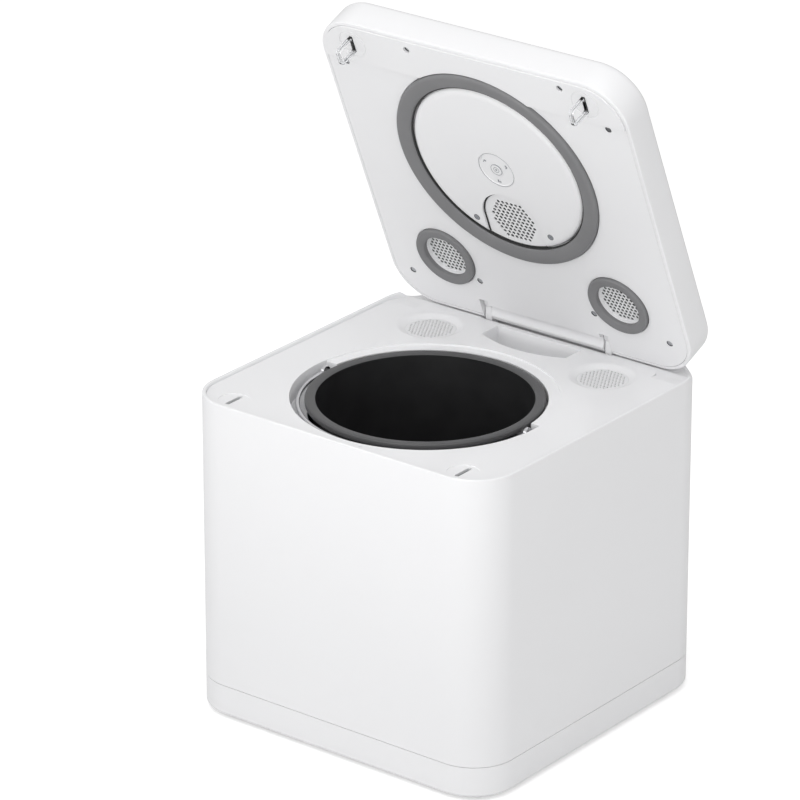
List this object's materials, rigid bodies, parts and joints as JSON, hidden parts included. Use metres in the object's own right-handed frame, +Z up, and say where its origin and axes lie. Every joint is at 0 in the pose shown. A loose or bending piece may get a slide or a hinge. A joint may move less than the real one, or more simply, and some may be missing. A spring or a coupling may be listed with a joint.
{
  "type": "electric food waste composter",
  "caption": "White square countertop food waste composter with a soft-cornered lid open on a rear hinge, grey seals, clear latch loops and a black lift-out bucket",
  "frame": {"origin": "centre of the body's footprint on the plane that the feet stand on", "axes": "+Z up; the front is -Y, the lid's hinge is at the +Y rear; +X is the right side seen from the front"},
  "size_m": [0.27, 0.2786, 0.5007],
  "materials": {
    "white_plastic": "satin white moulded plastic, soft sheen",
    "white_matte_plastic": "fine matte white moulded plastic of the deck and lid underside",
    "grey_seal_rubber": "smooth grey silicone rubber",
    "black_rubber": "black rubber",
    "clear_plastic": "clear polycarbonate",
    "nonstick_aluminium": "black non-stick coating on cast aluminium",
    "rim_grey": "dark grey heat-proof plastic",
    "polished_steel": "polished stainless steel",
    "zinc_steel": "plain zinc-plated steel",
    "raw_aluminium": "drawn aluminium, fine satin",
    "heater_mica": "steel-clad mica band",
    "grey_plastic": "grey engineering plastic",
    "black_plastic": "black moulded plastic",
    "gear_nylon": "natural nylon",
    "circuit_board": "green circuit board with components",
    "carbon_filter_shell": "dark grey cartridge filled with carbon",
    "bronze": "sintered bronze",
    "black_lens": "smoked touch lens"
  },
  "bodies": {
    "body": {"base_tray": "white_plastic", "feet": "black_rubber", "base_screws": "zinc_steel", "outer_shell": "white_plastic", "top_deck": "white_matte_plastic", "deck_grille_left": "white_matte_plastic", "deck_grille_right": "white_matte_plastic", "well_collar": "white_matte_plastic", "channel_rim": "white_matte_plastic", "rear_ledge": "white_matte_plastic", "hinge_bracket": "white_matte_plastic", "well_floor": "raw_aluminium", "bucket_well": "raw_aluminium", "band_heater": "heater_mica", "chassis_plate": "grey_plastic", "gearbox_case": "grey_plastic", "gearbox_cover": "grey_plastic", "drive_motor": "zinc_steel", "carbon_filter_left": "carbon_filter_shell", "carbon_filter_right": "carbon_filter_shell", "filter_plenum": "grey_plastic", "fan_housing": "black_plastic", "exhaust_grille": "white_plastic", "power_board": "circuit_board", "power_inlet": "black_plastic", "latch_case_left": "grey_plastic", "latch_case_right": "grey_plastic"},
    "lid": {"lid_cover": "white_plastic", "lid_inner_panel": "white_matte_plastic", "lid_screws": "zinc_steel", "main_gasket": "grey_seal_rubber", "side_gasket_left": "grey_seal_rubber", "side_gasket_right": "grey_seal_rubber", "steam_plate": "white_matte_plastic", "steam_grille": "white_matte_plastic", "centre_cap": "white_matte_plastic", "lid_grille_left": "white_matte_plastic", "lid_grille_right": "white_matte_plastic", "latch_loop_left": "clear_plastic", "latch_loop_right": "clear_plastic", "lid_duct": "grey_plastic", "control_lens": "black_lens", "control_board": "circuit_board", "hinge_pins": "polished_steel", "torsion_springs": "zinc_steel"},
    "bucket": {"bucket": "nonstick_aluminium", "bucket_rim": "rim_grey", "shaft_bush": "bronze"},
    "bail": {"bail_handle": "polished_steel"},
    "stirrer": {"stirrer": "nonstick_aluminium", "stirrer_coupling": "zinc_steel"},
    "drive": {"drive_gear": "gear_nylon"},
    "pinion": {"motor_pinion": "gear_nylon", "motor_shaft": "zinc_steel"},
    "fan": {"fan_impeller": "black_plastic"},
    "bolt_left": {"latch_bolt_left": "zinc_steel"},
    "bolt_right": {"latch_bolt_right": "zinc_steel"}
  },
  "joints": [
    {"name": "lid_hinge", "type": "hinge", "parent": "body", "child": "lid", "pos_m": [0, 0.124, 0.257], "axis": [-1, 0, 0], "range_deg": [-67, 0], "stiffness_Nm_per_rad": 0.9, "springref_deg": 20.05},
    {"name": "bucket_lift", "type": "slide", "parent": "body", "child": "bucket", "axis": [0, 0, 1], "range_m": [0, 0.115]},
    {"name": "bail_swing", "type": "hinge", "parent": "bucket", "child": "bail", "pos_m": [0, -0.027, 0.24], "axis": [-1, 0, 0], "range_deg": [0, 90]},
    {"name": "stirrer_spin", "type": "hinge", "parent": "bucket", "child": "stirrer", "pos_m": [0, -0.027, 0.1], "axis": [0, 0, 1], "continuous": true},
    {"name": "drive_spin", "type": "hinge", "parent": "body", "child": "drive", "pos_m": [0, -0.027, 0.068], "axis": [0, 0, 1], "continuous": true},
    {"name": "pinion_spin", "type": "hinge", "parent": "body", "child": "pinion", "pos_m": [0, 0.0255, 0.068], "axis": [0, 0, 1], "continuous": true},
    {"name": "fan_spin", "type": "hinge", "parent": "body", "child": "fan", "pos_m": [0, 0.122, 0.062], "axis": [0, 1, 0], "continuous": true},
    {"name": "bolt_left_slide", "type": "slide", "parent": "body", "child": "bolt_left", "axis": [-1, 0, 0], "range_m": [0, 0.006], "stiffness_N_per_m": 60},
    {"name": "bolt_right_slide", "type": "slide", "parent": "body", "child": "bolt_right", "axis": [1, 0, 0], "range_m": [0, 0.006], "stiffness_N_per_m": 60}
  ],
  "couplings": [
    {"joint": "stirrer_spin", "follows": "drive_spin", "ratio": 1},
    {"joint": "pinion_spin", "follows": "drive_spin", "ratio": -4}
  ]
}
